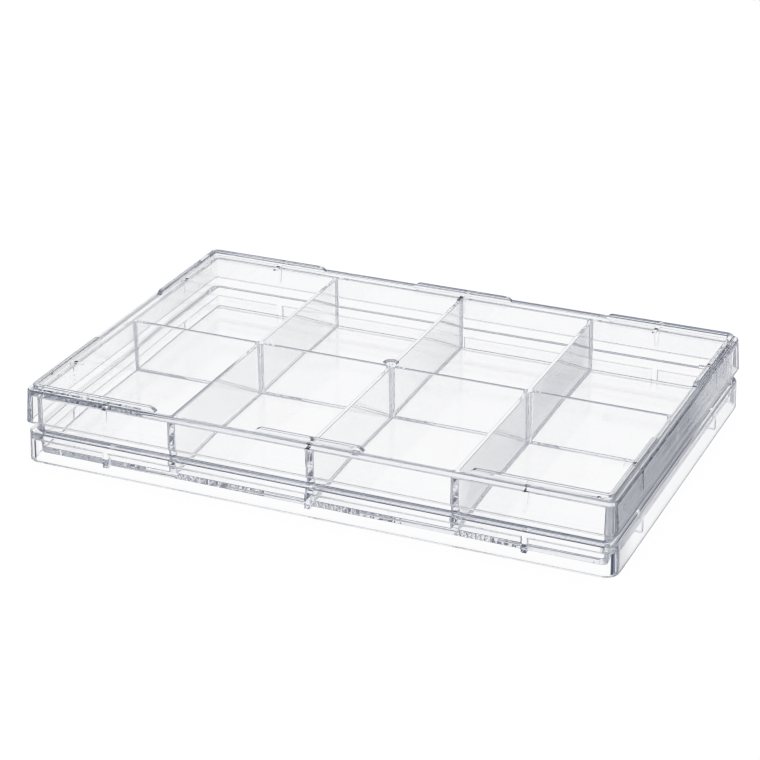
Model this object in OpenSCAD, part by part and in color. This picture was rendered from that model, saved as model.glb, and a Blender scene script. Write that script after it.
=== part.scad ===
// Eight-compartment culture plate with a loose lid, in the standard microplate footprint.
// Millimetres, +Z up. Origin: centre of the footprint, on the plane the skirt stands on.
// X runs along the long side (four wells), Y across it (two wells).

/* [Nodes] */
// which moulding to draw

/* [Footprint] */
// overall length at the foot of the skirt
foot_l = 127.76; // [100:0.01:160]
// overall width at the foot of the skirt
foot_w = 85.48; // [70:0.01:110]
// plan radius of the skirt's corners
foot_r = 3; // [2.4:0.1:5]

/* [Skirt] */
// height of the ledge above the resting plane
ledge_z = 6.5; // [5.4:0.1:9]
// thickness of the ledge between skirt and well wall
ledge_t = 1.7; // [1:0.1:2]
// thickness of the skirt at its foot
skirt_t = 1.2; // [0.8:0.1:1.8]
// inward lean of the skirt's outer face over its height
skirt_lean = 0.2; // [0:0.05:0.4]
// rounding along the outer edge of the ledge
ledge_round = 0.4; // [0.2:0.05:0.8]
// fillet where the well wall rises from the ledge
ledge_fillet = 0.6; // [0.3:0.05:0.9]

/* [Edges] */
// rounding along every open edge of both mouldings
edge_r = 0.15; // [0.1:0.01:0.2]
// fillet in the corners under the ledge and under the lid's panel
inner_r = 0.3; // [0.15:0.05:0.4]

/* [Wells] */
// number of wells along the length
wells_x = 4; // [2:1:6]
// number of wells across the width
wells_y = 2; // [1:1:3]
// height of the rim and of every divider
rim_z = 14.1; // [11:0.1:20]
// top face of the well floors
floor_z = 2.5; // [2:0.1:4]
// thickness of the floor
floor_t = 1; // [0.8:0.1:1.6]
// distance from the foot outline in to the rim's outer edge
rim_inset = 2.1; // [2:0.05:2.6]
// width of the rim
rim_t = 1; // [0.7:0.05:1.5]
// thickness of a divider under its rounded top
divider_t = 0.9; // [0.7:0.05:1.4]
// lean of every face inside a well, from rim to floor
well_lean = 0.2; // [0.1:0.05:0.4]
// plan radius of a well's upright corners at the rim
well_r = 0.6; // [0.6:0.05:3]
// rounding where walls run into the floor
well_round = 0.3; // [0.1:0.05:0.35]
// plan radius of the wall's outer corners at the rim
wall_r = 1.6; // [1.2:0.1:2.4]
// outward lean of the wall's outer face from rim to ledge
wall_lean = 0.2; // [0.05:0.05:0.3]

/* [Stiffening ribs] */
// distance of the outer ribs from the middle, along the length
rib_x = 45.3; // [30:0.1:52]
// distance of the ribs from the middle, across the width
rib_y = 25; // [15:0.1:32]
// width of a rib
rib_w = 1.2; // [0.8:0.1:2]
// height of the lower end of a rib above the resting plane
rib_z = 1.5; // [1.2:0.1:3]

/* [Lid] */
// distance from the foot outline in to the lid's outline
lid_inset = 0.1; // [0.05:0.05:0.4]
// gap between the ledge and the lid's lower edge
lid_lift = 2.2; // [1:0.1:3.5]
// thickness of the lid's panel
lid_t = 1.4; // [0.9:0.05:1.6]
// room between the rims and the lid's skirt, at its lower edge
lid_gap = 0.75; // [0.55:0.05:1]
// inward lean of the lid's outer face
lid_lean = 0.5; // [0.1:0.05:0.6]
// plan radius of the lid's corners
lid_r = 1.9; // [1.4:0.1:4]
// plan radius inside the corners of the lid's skirt
lid_in_r = 0.9; // [0.8:0.05:2]
// rounding along the lid's upper edge
lid_round = 0.3; // [0.1:0.05:0.6]
// air gap held open between the rims and the lid's panel
vent = 0.4; // [0.2:0.05:0.8]

/* [Lid spacers] */
// length of a spacer bar under the panel
bar_l = 3; // [2:0.1:5]
// width of a spacer bar
bar_w = 0.8; // [0.5:0.05:1.2]
// width of a wedge rib at the panel
wedge_w = 1.3; // [0.8:0.1:2]
// width of a wedge rib at its lower end
wedge_tip = 0.5; // [0.3:0.05:0.8]
// length of a wedge rib
wedge_l = 4.4; // [3:0.1:5]
// how far a wedge rib stands out of the skirt
wedge_out = 0.25; // [0.15:0.05:0.3]

/* [Stacking ridge] */
// play between the ridge and the skirt of the next plate in a stack
stack_gap = 0.15; // [0.1:0.05:0.4]
// plan radius inside the ridge's corners
ridge_in_r = 0.5; // [0.3:0.05:2]
// width of the ridge where it leaves the panel
ridge_w = 1.2; // [0.8:0.05:1.3]
// height of the ridge
ridge_h = 0.9; // [0.6:0.05:1.2]
// narrowing of the ridge on each side, base to top
ridge_lean = 0.07; // [0.05:0.01:0.2]
// half length of the flat top of the middle segment on each long side
ridge_mid = 9.9; // [6:0.1:16]
// start of a corner segment's flat top on a long side, from the middle
ridge_start_x = 35.5; // [26:0.1:47]
// start of a corner segment's flat top on a short side, from the middle
ridge_start_y = 15.1; // [10:0.1:24]
// radius by which each end of a segment falls away to the panel
ridge_end_r = 2.4; // [1.4:0.1:5]

/* [Gate mark] */
// diameter of the shallow dish in the middle of the lid
gate_d = 3.4; // [2.4:0.1:5]
// depth of the dish
gate_t = 0.4; // [0.15:0.05:0.5]
// distance by which the dish's side closes in on its floor
gate_slope = 0.7; // [0.2:0.05:0.9]
// diameter of the stub left on the floor of the dish
stub_d = 0.8; // [0.5:0.1:0.9]
// height of the stub
stub_h = 0.2; // [0.1:0.05:0.3]

/* [Hidden] */
$fn = 64;

// overlap that lets touching solids fuse
eps = 0.4;
// how far a rib runs into the wall it ties
bite = 0.3;
// overshoot of a cutting solid
cut = 2;

// skirt
half_l = foot_l / 2;
half_w = foot_w / 2;
// where the corner arcs of the skirt are centred
foot_cx = half_l - foot_r;
foot_cy = half_w - foot_r;
// inner face of the skirt at its foot and under the ledge
skirt_in_r = foot_r - skirt_t;
skirt_in_top_r = skirt_in_r - skirt_lean / 2;
ledge_under_z = ledge_z - ledge_t;

// wall above the ledge
rim_hl = half_l - rim_inset;
rim_hw = half_w - rim_inset;
wall_cx = rim_hl - wall_r;
wall_cy = rim_hw - wall_r;

// well block under the ledge
floor_under_z = floor_z - floor_t;
// distance of the wall's hidden outer face from the rim's outer edge, under the ledge and at the floor
under_in = 0.2;
under_foot_in = 0.4;
// radius of the wall's profile where the fillets above and below the ledge run into it
ledge_wall_r = wall_r + wall_lean * (rim_z - ledge_z - ledge_fillet) / (rim_z - ledge_under_z - eps);
under_top_z = ledge_under_z + eps;
under_h = under_top_z - floor_under_z;
under_wall_r = wall_r - under_in - (under_foot_in - under_in) * (eps + inner_r) / under_h;
// distances from the foot outline in to the two ends of a rib
rib_out = skirt_t / 2;
rib_in = rim_inset + under_foot_in + bite;

// wells
mouth_l = rim_hl * 2 - rim_t * 2;
mouth_w = rim_hw * 2 - rim_t * 2;
well_l = (mouth_l - divider_t * (wells_x - 1)) / wells_x;
well_w = (mouth_w - divider_t * (wells_y - 1)) / wells_y;
pitch_x = well_l + divider_t;
pitch_y = well_w + divider_t;
well_cx = well_l / 2 - well_r;
well_cy = well_w / 2 - well_r;
well_foot_r = well_r - well_lean;
// the rounding at the floor, limited by the corner it runs round
well_foot_round = min(well_round, 0.9 * well_foot_r);

// lid
lid_foot_z = ledge_z + lid_lift;
panel_z = rim_z + vent;
lid_z = panel_z + lid_t;
lid_cx = half_l - lid_inset - lid_r;
lid_cy = half_w - lid_inset - lid_r;
lid_top_r = lid_r - lid_lean;
lid_in_cx = rim_hl + lid_gap - lid_in_r;
lid_in_cy = rim_hw + lid_gap - lid_in_r;
lid_in_top_r = lid_in_r - lid_lean / 2;
// distance from the middle to the skirt's inner face under the panel
lid_in_l = lid_in_cx + lid_in_top_r;
lid_in_w = lid_in_cy + lid_in_top_r;

// ridge: its outer corners share their centres with the skirt's
ridge_r = skirt_in_r - stack_gap;
ridge_in_cx = foot_cx + ridge_r - ridge_w - ridge_in_r;
ridge_in_cy = foot_cy + ridge_r - ridge_w - ridge_in_r;
ridge_z = lid_z + ridge_h;

// Solid of every point within a profile's radius of a rectangle of half sides cx, cy.
// The 2-D child is the profile's right half, closed on its axis: x is radius, y is height.
// z0 and z1 are the heights the profile reaches down and up to on its axis.
module swept(cx, cy, z0, z1) {
    for (sx = [-1, 1], sy = [-1, 1])
        translate([sx * cx, sy * cy, 0])
            rotate_extrude()
                children();
    rotate([90, 0, 0])
        linear_extrude(height = 2 * cy, center = true)
            span(cx, z0, z1)
                children();
    rotate([90, 0, 90])
        linear_extrude(height = 2 * cx, center = true)
            span(cy, z0, z1)
                children();
}

// A profile and its mirror image, c either side of the middle, joined between z0 and z1.
module span(c, z0, z1) {
    translate([c, 0])
        children();
    translate([-c, 0])
        mirror([1, 0])
            children();
    translate([-c, z0])
        square([2 * c, z1 - z0]);
}

// Straight-sided profile: radius r0 at height z0, radius r1 at height z1.
// e0 and e1 round its lower and its upper outer corner.
module flank(r0, z0, r1, z1, e0 = 0, e1 = 0) {
    foot = e0 > 0 ? [[r0 - e0, z0], [r0 - e0, z0 + e0], [r0, z0 + e0]] : [[r0, z0]];
    top = e1 > 0 ? [[r1, z1 - e1], [r1 - e1, z1 - e1], [r1 - e1, z1]] : [[r1, z1]];
    polygon(concat([[0, z0]], foot, top, [[0, z1]]));
    if (e0 > 0)
        translate([r0 - e0, z0 + e0])
            intersection() {
                circle(r = e0);
                translate([0, -e0])
                    square([e0, e0]);
            }
    if (e1 > 0)
        translate([r1 - e1, z1 - e1])
            intersection() {
                circle(r = e1);
                square([e1, e1]);
            }
}

// Profile of a hollow of radius r where it opens upwards at height zero, the edge there rounded by e.
module mouth(r, e) {
    difference() {
        translate([0, -e])
            square([r + e, e + cut]);
        translate([r + e, -e])
            circle(r = e);
    }
}

// The corner where a wall of radius r stands on the plane at height zero, filled by a radius e.
module fillet(r, e) {
    difference() {
        translate([0, -eps])
            square([r + e, e + eps]);
        translate([r + e, e])
            circle(r = e);
    }
}

// Outer body of the skirt, up to the ledge.
module skirt_body() {
    swept(foot_cx, foot_cy, 0, ledge_z)
        flank(foot_r, 0, foot_r - skirt_lean, ledge_z, edge_r, ledge_round);
}

// Hollow under the ledge, open at the foot.
module skirt_hollow() {
    swept(foot_cx, foot_cy, -cut, ledge_under_z) {
        flank(skirt_in_r, edge_r, skirt_in_top_r, ledge_under_z, 0, inner_r);
        mirror([0, 1])
            mouth(skirt_in_r, edge_r);
    }
}

// Block of wells as it stands above the ledge.
module wall_block() {
    swept(wall_cx, wall_cy, under_top_z, rim_z)
        flank(wall_r + wall_lean, under_top_z, wall_r, rim_z, 0, edge_r);
    swept(wall_cx, wall_cy, ledge_z - eps, ledge_z + ledge_fillet)
        translate([0, ledge_z])
            fillet(ledge_wall_r, ledge_fillet);
}

// Block of wells as it hangs inside the skirt, floor slab included.
module under_block() {
    swept(wall_cx, wall_cy, floor_under_z, under_top_z)
        flank(wall_r - under_foot_in, floor_under_z, wall_r - under_in, under_top_z, edge_r);
    swept(wall_cx, wall_cy, ledge_under_z - inner_r, under_top_z)
        translate([0, ledge_under_z])
            mirror([0, 1])
                fillet(under_wall_r, inner_r);
}

// The hollow of one well.
module well() {
    swept(well_cx, well_cy, floor_z, rim_z + cut) {
        flank(well_foot_r, floor_z, well_r, rim_z - edge_r, well_foot_round);
        translate([0, rim_z])
            mouth(well_r, edge_r);
    }
}

// Every well.
module wells() {
    for (ix = [0 : wells_x - 1], iy = [0 : wells_y - 1])
        translate([(ix - (wells_x - 1) / 2) * pitch_x, (iy - (wells_y - 1) / 2) * pitch_y, 0])
            well();
}

// Ribs that tie the skirt to the block of wells under the ledge.
module stiffeners() {
    h = ledge_under_z + eps - rib_z;
    reach = rib_in - rib_out;
    for (a = [0, 180])
        rotate(a)
            for (x = [-rib_x, 0, rib_x])
                translate([x - rib_w / 2, half_w - rib_in, rib_z])
                    cube([rib_w, reach, h]);
    for (a = [90, 270])
        rotate(a)
            for (y = [-rib_y, rib_y])
                translate([y - rib_w / 2, half_l - rib_in, rib_z])
                    cube([rib_w, reach, h]);
}

// Lower moulding: skirt, ledge, eight wells.
module plate_base() {
    color([0.93, 0.95, 0.97, 0.35])
        difference() {
            union() {
                difference() {
                    skirt_body();
                    skirt_hollow();
                }
                under_block();
                stiffeners();
                wall_block();
            }
            wells();
        }
}

// Lid's outer shape without the ridge.
module lid_body() {
    swept(lid_cx, lid_cy, lid_foot_z, lid_z)
        flank(lid_r, lid_foot_z, lid_top_r, lid_z, edge_r, lid_round);
}

// Room inside the lid.
module lid_hollow() {
    swept(lid_in_cx, lid_in_cy, lid_foot_z - cut, panel_z) {
        flank(lid_in_r, lid_foot_z + edge_r, lid_in_top_r, panel_z, 0, inner_r);
        translate([0, lid_foot_z])
            mirror([0, 1])
                mouth(lid_in_r, edge_r);
    }
}

// One spacer, pointing at +Y: a bar under the panel and a wedge rib down the skirt.
// w is the distance from the middle to the skirt's inner face.
module spacer(w) {
    translate([-bar_w / 2, w - bar_l, rim_z])
        cube([bar_w, bar_l + eps, vent + eps]);
    translate([0, w + eps, 0])
        rotate([90, 0, 0])
            linear_extrude(height = wedge_out + eps)
                polygon([
                    [-wedge_w / 2, panel_z + eps],
                    [wedge_w / 2, panel_z + eps],
                    [wedge_tip / 2, panel_z - wedge_l],
                    [-wedge_tip / 2, panel_z - wedge_l]
                ]);
}

// Every spacer.
module spacers() {
    for (a = [0, 180])
        rotate(a)
            for (x = [-rib_x, 0, rib_x])
                translate([x, 0, 0])
                    spacer(lid_in_w);
    for (a = [90, 270])
        rotate(a)
            for (y = [-rib_y, rib_y])
                translate([y, 0, 0])
                    spacer(lid_in_l);
}

// Unbroken stacking ridge.
module ridge_ring() {
    difference() {
        swept(foot_cx, foot_cy, lid_z - eps, ridge_z)
            flank(ridge_r, lid_z - eps, ridge_r - ridge_lean, ridge_z, 0, edge_r);
        swept(ridge_in_cx, ridge_in_cy, lid_z - cut, ridge_z + cut) {
            translate([0, lid_z - cut])
                square([ridge_in_r, cut]);
            flank(ridge_in_r, lid_z, ridge_in_r + ridge_lean, ridge_z - edge_r);
            translate([0, ridge_z])
                mouth(ridge_in_r + ridge_lean, edge_r);
        }
    }
}

// Cutter for the break between two segments whose flat tops start a from its middle.
module ridge_break(a) {
    rotate([90, 0, 0])
        linear_extrude(height = 2 * foot_l, center = true)
            difference() {
                translate([-a, lid_z])
                    square([2 * a, ridge_h + cut]);
                for (s = [-1, 1])
                    translate([s * a, ridge_z - ridge_end_r])
                        circle(r = ridge_end_r);
            }
}

// Raised segments that locate the next plate of a stack.
module stacking_ridge() {
    break_mid = (ridge_mid + ridge_start_x) / 2;
    break_half = (ridge_start_x - ridge_mid) / 2;
    difference() {
        ridge_ring();
        for (s = [-1, 1])
            translate([s * break_mid, 0, 0])
                ridge_break(break_half);
        rotate(90)
            ridge_break(ridge_start_y);
    }
}

// Recess in the panel, dished round the stub that the moulding was filled through.
module gate_mark() {
    floor_r = gate_d / 2 - gate_slope;
    translate([0, 0, lid_z])
        rotate_extrude()
            difference() {
                polygon([
                    [0, -gate_t],
                    [floor_r, -gate_t],
                    [gate_d / 2, 0],
                    [gate_d / 2, cut],
                    [0, cut]
                ]);
                translate([0, -cut])
                    square([stub_d / 2, cut - gate_t + stub_h]);
            }
}

// Upper moulding: panel, skirt, spacers and stacking ridge.
module lid() {
    color([0.93, 0.95, 0.97, 0.35])
        difference() {
            union() {
                difference() {
                    lid_body();
                    lid_hollow();
                }
                spacers();
                stacking_ridge();
            }
            gate_mark();
        }
}

plate_base();
lid();
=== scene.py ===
import math

import bpy
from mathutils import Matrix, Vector


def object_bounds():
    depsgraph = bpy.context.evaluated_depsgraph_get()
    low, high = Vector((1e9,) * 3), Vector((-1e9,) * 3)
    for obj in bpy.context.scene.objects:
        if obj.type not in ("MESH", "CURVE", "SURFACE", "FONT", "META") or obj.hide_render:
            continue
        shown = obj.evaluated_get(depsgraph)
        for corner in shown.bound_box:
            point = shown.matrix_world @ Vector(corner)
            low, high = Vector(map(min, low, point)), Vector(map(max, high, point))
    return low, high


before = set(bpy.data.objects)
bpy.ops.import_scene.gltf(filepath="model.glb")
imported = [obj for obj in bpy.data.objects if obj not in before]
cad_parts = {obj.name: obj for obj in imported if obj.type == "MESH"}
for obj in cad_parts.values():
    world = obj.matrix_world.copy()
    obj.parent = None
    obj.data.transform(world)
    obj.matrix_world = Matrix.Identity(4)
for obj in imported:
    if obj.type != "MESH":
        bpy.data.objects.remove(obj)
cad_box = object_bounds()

# Clear polystyrene
PLASTIC_IOR = 1.59
PLASTIC_TINT = (0.62, 0.66, 0.74)
TINT_DENSITY = 3.0  # per metre of plastic
HAZE_ROUGHNESS = 0.01  # at its haziest
HAZE_SCALE = 240.0  # per metre
HAZE_DETAIL = 3.0  # octaves of finer noise
HAZE_FROM, HAZE_TO = 0.45, 0.75  # noise value at which the haze starts, and is full
RIPPLE_DEPTH = 0.000004  # metres
RIPPLE_SCALE = 90.0  # per metre
RIPPLE_DETAIL = 2.0  # octaves of finer noise

# Floor, a sheet of white paper
FLOOR_HALF = 3.0  # metres
FLOOR_GAP = 0.0001  # below the plate's foot, metres
FLOOR_COLOUR = (0.9, 0.9, 0.9)
FLOOR_WHITE = 0.96  # share of plain white; the rest keeps the shadow

# Lamp, overhead
LAMP_PLACE = (0.0, 0.1, 0.9)  # metres
LAMP_SIDE = 0.9  # metres
LAMP_WATTS = 13.0

# Camera, at the photograph's angle
CAMERA_AZIMUTH, CAMERA_ELEVATION = 23.4, 24.57  # degrees
CAMERA_DISTANCE = 0.5324  # metres
CAMERA_AIM = (-0.0124, 0.0228, 0.0)
CAMERA_CLIP = 0.01  # metres
CAMERA_LENS, CAMERA_SENSOR = 113.76, 36.0  # millimetres

# Light is piped along the walls by many total reflections before it leaves them.
PIPED_BOUNCES = 96
DIFFUSE_BOUNCES = 3
THROUGH_BOUNCES = 32  # through the floor, which lets bent rays pass

FILTER_WIDTH = 1.25  # pixels

# Surroundings
ROOM = (0.045, 0.06, 0.11)
# painted shadow: the floor beneath the plate, darkened as if in its shadow, for rays the plastic
# bends down through the floor
PAINTED_PLATE_SHADOW = (0.05, 0.075, 0.15)
SLATE = (0.18, 0.21, 0.28)
GREY = (0.34, 0.37, 0.44)
SILVER = (0.50, 0.53, 0.60)
PALE = (0.86, 0.87, 0.90)
SOFT_WHITE = (0.93, 0.93, 0.95)
WHITE = (0.99, 0.99, 0.99)
PURE_WHITE = (1.0, 1.0, 1.0)

# Cards hung in the dim room, in degrees: heading from, to; height from, to; soft edge; colour.
# Headings run from +Y (0) towards +X (90), heights from straight down (-90) to straight up (90).
# Each card covers the ones before it.
CARDS = [
    # painted shadow of the plate on the floor beneath it, and what the walls mirror from the
    # right, behind and the left
    (-180, 180, -90, -44, 4, PAINTED_PLATE_SHADOW),
    (36, 156, -40, -14, 5, SLATE),
    (66, 156, -12, 45, 8, GREY),
    (246, 291, -12, 60, 8, GREY),
    (150, 246, -37, -8, 1, PALE),
    (201, 246, 20, 66, 8, SILVER),
    # what the left wall and first divider mirror, and the right skirts, with a dark gap between
    (24, 36, -42, -14, 2.5, WHITE),
    (8, 18.4, -42, -14, 0.6, PALE),
    (19.2, 22.4, -32, -27, 0.7, ROOM),
    # the white sweep straight behind the plate, and what its lid and floors mirror above that
    (-75, -10, -46, -1, 3, WHITE),
    (-56, -8, 16, 62, 4, SOFT_WHITE),
    # the white sweep as seen from the side, the front, the back and above
    (-110, -70, -12, 14, 4, WHITE),
    (-10, 12, -12, 14, 3, WHITE),
    (110, 160, -25, 30, 5, WHITE),
    (-180, 180, -90, -81.5, 1, WHITE),
]

scene = bpy.context.scene


class Nodes:
    """Short names for adding nodes to one node tree."""

    def __init__(self, owner):
        owner.use_nodes = True
        self.tree = owner.node_tree
        self.tree.nodes.clear()

    def add(self, kind, **inputs):
        """Add a node. Keywords name its inputs, _ for a space; values are plain or sockets."""
        node = self.tree.nodes.new(kind)
        for name, value in inputs.items():
            self.feed(node.inputs[name.replace("_", " ")], value)
        return node

    def feed(self, socket, value):
        """Set a socket to a plain value, or link another node's output to it."""
        if isinstance(value, bpy.types.NodeSocket):
            self.tree.links.new(value, socket)
        else:
            socket.default_value = value

    def math(self, operation, *values):
        """Add a Math node and return its output."""
        node = self.tree.nodes.new("ShaderNodeMath")
        node.operation = operation
        for socket, value in zip(node.inputs, values):
            self.feed(socket, value)
        return node.outputs[0]

    def blend(self, factor, under, over):
        """Mix two colours, from under at 0 to over at 1, and return the result."""
        node = self.tree.nodes.new("ShaderNodeMix")
        node.data_type = "RGBA"
        colours = [socket for socket in node.inputs if socket.type == "RGBA"]
        self.feed(node.inputs[0], factor)
        self.feed(colours[0], under)
        self.feed(colours[1], over)
        return next(socket for socket in node.outputs if socket.type == "RGBA")

    def shade(self, factor, first, second):
        """Mix two shaders and return the result."""
        node = self.tree.nodes.new("ShaderNodeMixShader")
        for socket, value in zip(node.inputs, (factor, first, second)):
            self.feed(socket, value)
        return node.outputs[0]


def solid(colour):
    """A colour with full alpha."""
    return (*colour, 1.0)


# ---------------------------------------------------------------- materials
def clear_plastic(name):
    """Crystal polystyrene: clear, with a faint cool cast that grows with thickness.

    The faces carry the shallow flow ripple of a moulding, and a fine haze where the tool is less
    polished."""
    mat = bpy.data.materials.new(name)
    nodes = Nodes(mat)
    place = nodes.add("ShaderNodeTexCoord").outputs["Object"]
    patches = nodes.add("ShaderNodeTexNoise", Vector=place, Scale=HAZE_SCALE,
                        Detail=HAZE_DETAIL)
    haze = nodes.add("ShaderNodeMapRange", Value=patches.outputs[0], From_Min=HAZE_FROM,
                     From_Max=HAZE_TO, To_Min=0.0, To_Max=HAZE_ROUGHNESS)
    flow = nodes.add("ShaderNodeTexNoise", Vector=place, Scale=RIPPLE_SCALE,
                     Detail=RIPPLE_DETAIL)
    ripple = nodes.add("ShaderNodeBump", Height=flow.outputs[0], Strength=1.0,
                       Distance=RIPPLE_DEPTH)
    body = nodes.add("ShaderNodeBsdfPrincipled", Base_Color=solid(PURE_WHITE),
                     Roughness=haze.outputs["Result"], IOR=PLASTIC_IOR, Transmission_Weight=1.0,
                     Normal=ripple.outputs[0])
    cast = nodes.add("ShaderNodeVolumeAbsorption", Color=solid(PLASTIC_TINT), Density=TINT_DENSITY)
    nodes.add("ShaderNodeOutputMaterial", Surface=body.outputs[0], Volume=cast.outputs[0])
    return mat


for node, mat_name in (("plate_base", "clear_base"), ("lid", "clear_lid")):
    plastic = clear_plastic(mat_name)
    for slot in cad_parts[node].material_slots:
        slot.material = plastic


# ---------------------------------------------------------------- floor
def pale_floor():
    """White paper that keeps the shadow; rays bent or mirrored by the plastic see the backdrop."""
    mat = bpy.data.materials.new("pale_floor")
    nodes = Nodes(mat)
    lit = nodes.add("ShaderNodeBsdfDiffuse", Color=solid(FLOOR_COLOUR))
    white = nodes.add("ShaderNodeEmission", Color=solid(PURE_WHITE), Strength=1.0)
    paper = nodes.shade(FLOOR_WHITE, lit.outputs[0], white.outputs[0])
    ray = nodes.add("ShaderNodeLightPath").outputs
    bent = nodes.math("MAXIMUM", ray["Is Transmission Ray"], ray["Is Glossy Ray"])
    through = nodes.add("ShaderNodeBsdfTransparent")
    nodes.add("ShaderNodeOutputMaterial", Surface=nodes.shade(bent, paper, through.outputs[0]))
    return mat


floor_mesh = bpy.data.meshes.new("floor")
corners = [(x * FLOOR_HALF, y * FLOOR_HALF, 0) for x, y in ((-1, -1), (1, -1), (1, 1), (-1, 1))]
floor_mesh.from_pydata(corners, [], [(0, 1, 2, 3)])
floor_mesh.materials.append(pale_floor())
floor = bpy.data.objects.new("floor", floor_mesh)
floor.location.z = cad_box[0][2] - FLOOR_GAP
scene.collection.objects.link(floor)

# ---------------------------------------------------------------- surroundings
world = bpy.data.worlds.new("studio")
scene.world = world
# The cards are broad: rays find them without being aimed, and the render is faster.
world.cycles.sampling_method = "NONE"
sky = Nodes(world)


def inside(value, low, high, soft):
    """1 while an angle lies from low to high degrees, falling to 0 over soft degrees outside."""
    middle, half = math.radians((low + high) / 2), math.radians((high - low) / 2)
    turned = sky.math("WRAP", sky.math("SUBTRACT", value, middle), math.pi, -math.pi)
    fade = sky.add("ShaderNodeMapRange", Value=sky.math("ABSOLUTE", turned),
                   From_Min=half + math.radians(soft), From_Max=half)
    fade.interpolation_type = "SMOOTHSTEP"
    return fade.outputs["Result"]


ahead = sky.add("ShaderNodeSeparateXYZ", Vector=sky.add("ShaderNodeTexCoord").outputs["Generated"])
heading = sky.math("ARCTAN2", ahead.outputs["X"], ahead.outputs["Y"])
height = sky.math("ARCSINE", ahead.outputs["Z"])
colour = solid(ROOM)
for heading_from, heading_to, height_from, height_to, soft, card_colour in CARDS:
    cover = inside(height, height_from, height_to, soft)
    if heading_to - heading_from < 360:
        cover = sky.math("MULTIPLY", cover, inside(heading, heading_from, heading_to, soft))
    colour = sky.blend(cover, colour, solid(card_colour))

# The camera itself sees plain white beyond the floor.
seen = sky.add("ShaderNodeLightPath").outputs["Is Camera Ray"]
backdrop = sky.add("ShaderNodeBackground", Color=sky.blend(seen, colour, solid(PURE_WHITE)))
sky.add("ShaderNodeOutputWorld", Surface=backdrop.outputs[0])

# ---------------------------------------------------------------- lamp
lamp_data = bpy.data.lights.new("overhead", "AREA")
lamp_data.shape = "SQUARE"
lamp_data.size = LAMP_SIDE
lamp_data.energy = LAMP_WATTS
lamp = bpy.data.objects.new("overhead", lamp_data)
lamp.location = LAMP_PLACE
lamp.rotation_euler = (-Vector(LAMP_PLACE)).to_track_quat("-Z", "Y").to_euler()
lamp.visible_glossy = False
lamp.visible_transmission = False
scene.collection.objects.link(lamp)

# ---------------------------------------------------------------- camera
azimuth, elevation = math.radians(CAMERA_AZIMUTH), math.radians(CAMERA_ELEVATION)
away = Vector((math.sin(azimuth) * math.cos(elevation),
               -math.cos(azimuth) * math.cos(elevation),
               math.sin(elevation)))
camera_data = bpy.data.cameras.new("camera")
camera_data.sensor_width = CAMERA_SENSOR
camera_data.lens = CAMERA_LENS
camera_data.clip_start = CAMERA_CLIP
camera_data.dof.use_dof = False
camera = bpy.data.objects.new("camera", camera_data)
camera.location = Vector(CAMERA_AIM) + away * CAMERA_DISTANCE
camera.rotation_euler = (-away).to_track_quat("-Z", "Y").to_euler()
scene.collection.objects.link(camera)
scene.camera = camera

scene.view_settings.view_transform = "Standard"
scene.cycles.filter_width = FILTER_WIDTH
# Inside clear walls the surface passes are noisy too, and guided by them the denoiser leaves
# speckle, so it works from the picture's colour alone.
scene.cycles.denoising_input_passes = "RGB"
scene.cycles.max_bounces = PIPED_BOUNCES
scene.cycles.transmission_bounces = PIPED_BOUNCES
scene.cycles.glossy_bounces = PIPED_BOUNCES
scene.cycles.diffuse_bounces = DIFFUSE_BOUNCES
scene.cycles.transparent_max_bounces = THROUGH_BOUNCES
